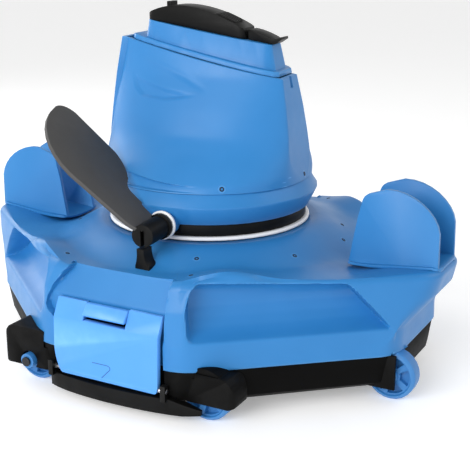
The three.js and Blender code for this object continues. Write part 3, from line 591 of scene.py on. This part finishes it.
# Lines on each broad face, as it is looked at: place from left to right, and height.
FACE_SCOOP_LOWER = np.array([[-56, 226], [-50, 214], [-43, 209], [-20, 207.5], [0, 211], [12, 213.5]])
FACE_SCOOP_UPPER = np.array([[-56, 226], [-50, 222.5], [-40, 219.5], [-20, 215.5], [0, 213.2], [12, 213.5]])
CREASE_LINE = np.array([[-50, 237], [-30, 233], [-8, 226], [14, 216]])
BAND_DEPTH, FACE_SCOOP_DEPTH, CREASE_DEPTH = 2.8, 1.9, 0.55
SLOT_HALF, SLOT_FOOT, SLOT_DEPTH = 1.7, 217, 3.2
MOUTH_Z, MOUTH_HALVES = 141, (15.6, 8.8)    # the nozzle's mouth: its middle's height, half width and height


def tower_profile():
    """The section's three sizes over an even grid of heights, with the corners between rows smoothed out."""
    grid = np.linspace(116, 282, 1661)
    columns = []
    for sizes in TOWER_ROWS.T[1:]:
        values = np.interp(grid, TOWER_ROWS[:, 0], sizes)
        low = grid < FOOT_Z
        slope = (sizes[1] - sizes[0]) / (TOWER_ROWS[1, 0] - FOOT_Z)
        values[low] = sizes[0] + slope * (grid[low] - FOOT_Z)
        columns.append(eased(values, 22, 60))
    return grid, columns


TOWER_GRID, TOWER_SIZES = tower_profile()


def tower_surface(inset, heights):
    """Grid of points round the tower, `inset` behind its skin: two bowed faces joined by narrow ends.

    Each height is a share of the way from the shell's lower edge to its sloping top.
    """
    half = FACE_STEPS + END_STEPS
    theta = np.linspace(-math.pi / 2, math.pi / 2, FACE_STEPS, endpoint=False)
    cos = np.cos(theta)
    side = np.linspace(-1, 1, END_STEPS, endpoint=False)
    rows = []
    for t in heights:
        z = np.full(2 * half, FOOT_Z + t * (SHOULDER_Z - FOOT_Z))
        # The section follows from the height, and the height from X, so a few turns settle both.
        for _ in range(4):
            a, b, e = (np.interp(z, TOWER_GRID, sizes) - inset for sizes in TOWER_SIZES)
            e = np.maximum(e + inset * 0.4, 1)
            flat = FACE_FLATTENING * smoothstep(150, 178, z[:FACE_STEPS])
            bow = (1 - flat) * cos + flat * cos * cos
            x = np.concatenate([a[:FACE_STEPS] * np.sin(theta), a[FACE_STEPS:half]])
            y = np.concatenate([-e[:FACE_STEPS] - (b - e)[:FACE_STEPS] * bow, e[FACE_STEPS:half] * side])
            x, y = np.concatenate([x, -x]), np.concatenate([y, -y])
            top = SHOULDER_Z + SHOULDER_FALL * x
            z = FOOT_Z + t * (top - FOOT_Z)
        rows.append(np.column_stack([x, y, z]))
    return np.array(rows)


def shape_tower_faces(grid):
    """Foot band, shallow scoop high on each face's left with a crease above it, and a slot in each end."""
    x, y, z = grid[..., 0], grid[..., 1], grid[..., 2]
    u = x * np.where(y > 0, -1.0, 1.0)
    band_top = 156.6 - 6.0 * smoothstep(-66, 20, u)
    band = smoothstep(146.7, 147.1, z) * (1 - smoothstep(band_top, band_top + 0.7, z))
    band = band * smoothstep(-74, -70, u) * (1 - smoothstep(-12, 26, u))
    above_lower = smoothstep(0, 1.2, z - np.interp(u, *FACE_SCOOP_LOWER.T))
    below_upper = smoothstep(0, 5.5, np.interp(u, *FACE_SCOOP_UPPER.T) - z + 1.5)
    scoop = above_lower * below_upper * smoothstep(-56, -52, u) * (1 - smoothstep(-12, 10, u))
    crease = bell(z - np.interp(u, *CREASE_LINE.T), 2.4)
    crease = crease * smoothstep(-50, -34, u) * (1 - smoothstep(2, 16, u))
    push = BAND_DEPTH * band + FACE_SCOOP_DEPTH * scoop + CREASE_DEPTH * crease
    radius = np.hypot(x, y)
    grid[..., 0] -= x / radius * push
    grid[..., 1] -= y / radius * push
    slot = (np.abs(y) < SLOT_HALF) & (np.abs(x) > 50) & (z > SLOT_FOOT)
    grid[..., 0] = np.where(slot, np.sign(x) * (np.abs(x) - SLOT_DEPTH), grid[..., 0])
    return grid


def build_tower_shell():
    """Outside, top rim and inside as one surface, open at the nozzle's mouth. Returns it for ray casts."""
    heights = np.concatenate([np.linspace(0, 0.11, 34), np.linspace(0.115, 0.985, 90), [0.992, 0.997]])
    outer = shape_tower_faces(tower_surface(0.0, heights))
    lip = tower_surface(0.5, [1.0])
    rim = tower_surface(TOWER_WALL - 0.3, [1.0])
    inner = tower_surface(TOWER_WALL, [0.97, 0.8, 0.6, 0.4, 0.25, 0.12, 0.0])
    inner[:, :, :2] *= np.where(inner[:, :, 2:] < 158, 0.985, 1.0)
    grid = np.concatenate([outer, lip, rim, inner])
    rows, cols = grid.shape[:2]
    middle = (grid[:-1] + grid[1:]) / 2
    across, up = middle[..., 1] / MOUTH_HALVES[0], (middle[..., 2] - MOUTH_Z) / MOUTH_HALVES[1]
    mouth = (middle[..., 0] < -40) & (across ** 2 + up ** 2 < 1)
    faces = grid_faces(rows, cols, skip=mouth)
    faces += [face for face, open_here in zip(closing_faces(rows, cols), mouth[0]) if not open_here]
    points = grid.reshape(-1, 3)
    shell = piece("tower_shell_surface", points, faces, BLUE, "tower", "blue_shell", 38, tower=True)
    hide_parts("tower_shell")
    return BVHTree.FromPolygons([v.co.copy() for v in shell.data.vertices],
                                [f.vertices[:] for f in shell.data.polygons])


TOWER_SKIN = build_tower_shell()


# ------------------------------------------------------------------ screws, notches in painted shade, and arrows
# Profiles of [radius, height over the surface]: a head with a sunk middle, and the dished seat round it.
SCREW_HEAD = [(0.05, -0.35), (0.75, -0.35), (0.95, 0.25), (1.5, 0.2), (1.75, -0.1), (1.8, -0.9), (0.05, -0.9)]
SCREW_SEAT = [(1.8, -0.5), (1.9, 0.02), (2.4, 0.08), (2.9, 0.0), (2.9, -0.7), (1.8, -0.7)]
DECK_SCREWS = [(-54, -122), (54, -122), (44, -97), (100, -48), (112, 18), (-100, -44)]
TOWER_SCREWS = 6
TOWER_SCREW_Z = 149.7
NOTCH_AT, NOTCH_LEAN = (0, -82.3, 141.4), 0.55
DOOR_FACE_AT, DOOR_LEAN = (0, -156.33, 0), 0.049
QUARTER = math.pi / 2


def screw(name, spot, normal, body):
    upright = Vector(normal).to_track_quat("Z", "Y").to_matrix().to_4x4()
    stand = Matrix.Translation(spot) @ upright
    # The head is painted with the dark shade of the hole it sits in.
    piece(name, *placed(lathe(SCREW_HEAD, 24), stand), HOLE_SHADE, body, "black_plastic", 50)
    piece(name + "_seat", *placed(lathe(SCREW_SEAT, 32), stand), BLUE, body, "blue_shell", 50)


def build_deck_screws():
    """Screws square to the deck, and their twins half a turn away."""
    step = 0.5
    for number, (x, y) in enumerate(DECK_SCREWS + [(-x, -y) for x, y in DECK_SCREWS]):
        z = float(deck_height(x, y))
        slope_x = (float(deck_height(x + step, y)) - z) / step
        slope_y = (float(deck_height(x, y + step)) - z) / step
        screw(f"deck_screw_{number}", (x, y, z + 0.05), (-slope_x, -slope_y, 1), "base")


def build_notch_shade(name, bearing):
    """Small arch in the tower's foot, under a screw, painted with the dark shade of a notch."""
    arch = curve([(-2.6, 0)], [(-2.4, 2.4), (0, 2.4)], [(2.4, 2.4), (2.6, 0)], steps=8)
    stand = (Matrix.Rotation(bearing + QUARTER, 4, "Z") @ Matrix.Translation(NOTCH_AT)
             @ Matrix.Rotation(QUARTER - NOTCH_LEAN, 4, "X"))
    piece(name, *placed(slab(arch, 1.2, 0.2), stand), HOLE_SHADE, "tower", "black_plastic", 50, tower=True)


def build_tower_screws():
    """Screws in the tower's foot band, found on its skin, each over a notch drawn in painted shade."""
    for number in range(TOWER_SCREWS):
        bearing = math.tau * number / TOWER_SCREWS
        around = bearing + TOWER_TURN
        outward = Vector((math.cos(around), math.sin(around), 0))
        outside = outward * 0.13 + Vector((0, 0, TOWER_SCREW_Z * MM))
        spot, facing, _, _ = TOWER_SKIN.ray_cast(outside, -outward)
        screw(f"tower_screw_{number}", spot / MM + facing * 0.1, facing, "tower")
        build_notch_shade(f"notch_shade_{number}", bearing)


def build_door_arrow(name, body, half_turns):
    """Engraved line with a bent tip, low on the debris door, drawn as a thin raised strip painted with the
    groove's dark shade.
    """
    line = np.array(curve([(-11, 33)], [(2, 33)], [(5.6, 32.6), (4.6, 30)], [(-2.6, 22.6)], steps=6))
    ahead = unit(np.gradient(line, axis=0))
    across = np.stack([-ahead[:, 1], ahead[:, 0]], 1) * 0.34
    outline = np.concatenate([line + across, (line - across)[::-1]])
    stand = (Matrix.Rotation(math.pi * half_turns, 4, "Z") @ Matrix.Translation(DOOR_FACE_AT)
             @ Matrix.Rotation(QUARTER - DOOR_LEAN, 4, "X"))
    piece(name, *placed(slab(outline, 0.25, 0.06), stand), DOOR_GROOVE_SHADE, body, "blue_door", 40)


build_deck_screws()
build_tower_screws()
build_door_arrow("door_arrow_front", "front_door", 0)
build_door_arrow("door_arrow_rear", "rear_door", 1)


# ------------------------------------------------------------------ CAD nodes that stay
# Material, eased width of the edges, angle over which an edge is eased, and the nodes.
DRESSING = [
    (BLACK, 0.6, 32, ("bumper_lip_front", "bumper_lip_rear", "stop_post_front", "stop_post_rear",
                      "paddle_hub", "top_lid", "lid_latch", "jet_nozzle", "suction_duct")),
    (BLACK, 0.4, 32, ("turntable",)),
    (TRAY_BLACK, 0.6, 32, ("chassis",)),
    (DOOR_BLUE, 0.7, 25, ("debris_door_front", "debris_door_rear", "door_latch_front", "door_latch_rear")),
    (DOOR_BLUE, 0.3, 32, ("intake_flap_front", "intake_flap_rear")),
    (BLUE, 0.5, 32, ("jet_guide_right", "jet_guide_left", "tower_foot", "tower_neck")),
    (GREY, 0.4, 32, ("filter_basket_front", "filter_basket_rear", "pump_casing", "paddle_blade")),
    (MESH, 0, 32, ("filter_screen_front", "filter_screen_rear")),
    (WHITE, 0.3, 32, ("trim_ring", "paddle_bush", "power_button", "impeller")),
    (WHEEL_BLUE, 0.4, 32, [f"wheel_{spot}" for spot in WHEEL_SPOTS]),
    # These two axles are painted with the dark shade of the holes in their wheels' hubs.
    (HOLE_SHADE, 0.3, 32, ("axle_front_left", "axle_rear_right")),
    (STEEL_X, 0.3, 32, ("door_pin_front", "door_pin_rear")),
    (STEEL_Y, 0.3, 32, ("axle_front_right", "axle_end_right", "axle_rear_left", "axle_end_left",
                        "paddle_shaft")),
    (STEEL_Z, 0.3, 32, ("motor_shaft", "motor", "charge_socket")),
    (RUBBER, 0.4, 32, ("shaft_seal",)),
    (WRAP, 2.0, 32, ("battery_pack",)),
    (BOARD, 0, 32, ("control_board",)),
]
for material, bevel, angle, nodes in DRESSING:
    for node in nodes:
        dress(node, material, bevel, angle)


# ------------------------------------------------------------------ wheel guards
GUARD_R, GUARD_INNER_R = 21.9, 20.7
GUARD_HALF = 21.5                  # half the outer face's width at its foot
GUARD_FOOT_Z = 24


def build_wheel_guard(name, x, y):
    """Black arch over a wheel whose housing is low, closed on its outer side."""
    side = -1 if y < 0 else 1
    angles = np.linspace(math.radians(8), math.radians(172), 40)
    circle = np.stack([np.cos(angles), np.sin(angles)], 1)
    centre = np.array([x, WHEEL_R])
    rim = centre + GUARD_R * circle
    outline = np.concatenate([rim, (centre + GUARD_INNER_R * circle)[::-1]])
    face = np.concatenate([rim, [[x - GUARD_HALF, GUARD_FOOT_Z], [x + GUARD_HALF, GUARD_FOOT_Z]]])
    upright = Matrix.Rotation(QUARTER, 4, "X")
    roof = placed(slab(outline, 17.5, 0.25), Matrix.Translation((0, y + 8.7, 0)) @ upright)
    front = placed(slab(face, 1.0, 0.3), Matrix.Translation((0, y + side * 8.6 + 0.5, 0)) @ upright)
    piece(name, *joined(roof, front), TRAY_BLACK, "base", "black_plastic", 40)


build_wheel_guard("wheel_guard_front", 75, -133)
build_wheel_guard("wheel_guard_rear", -75, 133)


# ------------------------------------------------------------------ room, lights, camera
FLOOR_HALF = 30                    # metres, so that the floor's edge is never seen
CAMERA_AT = (0.4026, -0.7040, 0.3333)
CAMERA_YAW, CAMERA_PITCH = math.radians(28.3), math.radians(16.7)
CAMERA_LENS = 77.8


def build_floor():
    mesh = bpy.data.meshes.new("floor")
    corners = [(x * FLOOR_HALF, y * FLOOR_HALF, 0) for x, y in ((-1, -1), (1, -1), (1, 1), (-1, 1))]
    mesh.from_pydata(corners, [], [(0, 1, 2, 3)])
    obj = bpy.data.objects.new("floor", mesh)
    bpy.context.scene.collection.objects.link(obj)
    mat, tree, shader = new_material("floor_white")
    speck = noise(tree, 30, 3)
    tone = ramp(tree, speck.outputs["Fac"], [(0.2, 0.86), (0.8, 0.9)])
    tree.links.new(tone, shader.inputs["Base Color"])
    shader.inputs["Roughness"].default_value = 0.55
    shader.inputs["Emission Color"].default_value = (1, 1, 1, 1)
    shader.inputs["Emission Strength"].default_value = 0.3
    mesh.materials.append(mat)


def build_sky():
    """White studio light, dimmer from above than from the sides."""
    world = bpy.data.worlds.new("studio")
    bpy.context.scene.world = world
    bpy.context.scene.view_settings.view_transform = "Standard"
    world.use_nodes = True
    tree = world.node_tree
    background = tree.nodes["Background"]
    direction = add(tree, "ShaderNodeTexCoord")
    split = add(tree, "ShaderNodeSeparateXYZ")
    tree.links.new(direction.outputs["Generated"], split.inputs["Vector"])
    tree.links.new(ramp(tree, split.outputs["Z"], [(0.06, 1.0), (0.75, 0.5)]), background.inputs["Color"])
    background.inputs["Strength"].default_value = 1.0


def softbox(name, place, aim, size, power):
    light = bpy.data.lights.new(name, "AREA")
    light.shape = "RECTANGLE"
    light.size, light.size_y = size
    light.energy = power
    obj = bpy.data.objects.new(name, light)
    obj.location = place
    obj.rotation_euler = (Vector(aim) - Vector(place)).to_track_quat("-Z", "Y").to_euler()
    bpy.context.scene.collection.objects.link(obj)


def build_camera():
    camera = bpy.data.cameras.new("camera")
    camera.lens = CAMERA_LENS
    camera.sensor_width = 36
    obj = bpy.data.objects.new("camera", camera)
    obj.location = CAMERA_AT
    level = math.cos(CAMERA_PITCH)
    look = Vector((-math.sin(CAMERA_YAW) * level, math.cos(CAMERA_YAW) * level, -math.sin(CAMERA_PITCH)))
    obj.rotation_euler = look.to_track_quat("-Z", "Y").to_euler()
    bpy.context.scene.collection.objects.link(obj)
    bpy.context.scene.camera = obj


build_floor()
build_sky()
softbox("key", (-0.15, -1.45, 0.75), (0, 0, 0.1), (1.1, 0.7), 17)
softbox("rim", (1.0, 0.5, 1.0), (0, 0, 0.12), (0.8, 0.8), 3)
softbox("left", (-1.2, 0.2, 0.7), (0, 0, 0.12), (0.7, 0.9), 6)
build_camera()
